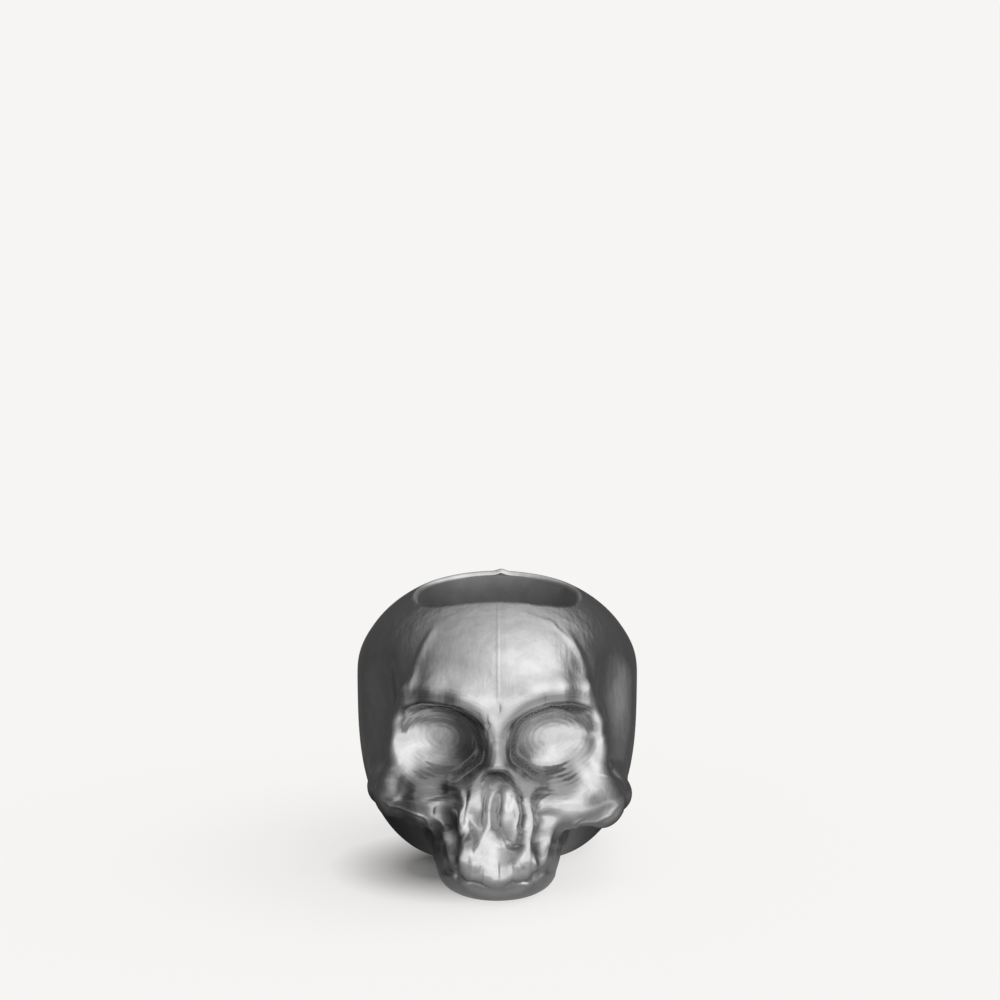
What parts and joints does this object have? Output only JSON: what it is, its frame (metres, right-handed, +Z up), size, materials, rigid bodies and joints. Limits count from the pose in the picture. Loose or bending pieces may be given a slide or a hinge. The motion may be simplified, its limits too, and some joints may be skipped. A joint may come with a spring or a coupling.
{
  "type": "skull candle holder",
  "caption": "Moulded skull that holds a tealight: an open well in the crown, a carved face, and a flat base that it stands on.",
  "frame": {"origin": "under the middle of the whole shape, on the surface that it stands on", "axes": "+Z up, the face looks along -Y, +Y to the back of the skull, +X to the viewer's right"},
  "size_m": [0.09, 0.1086, 0.0879],
  "materials": {
    "silver_lustre": "moulded glass under an opaque dark silver lustre, satin smooth"
  },
  "bodies": {
    "root": {"skull_holder": "silver_lustre"}
  },
  "joints": []
}
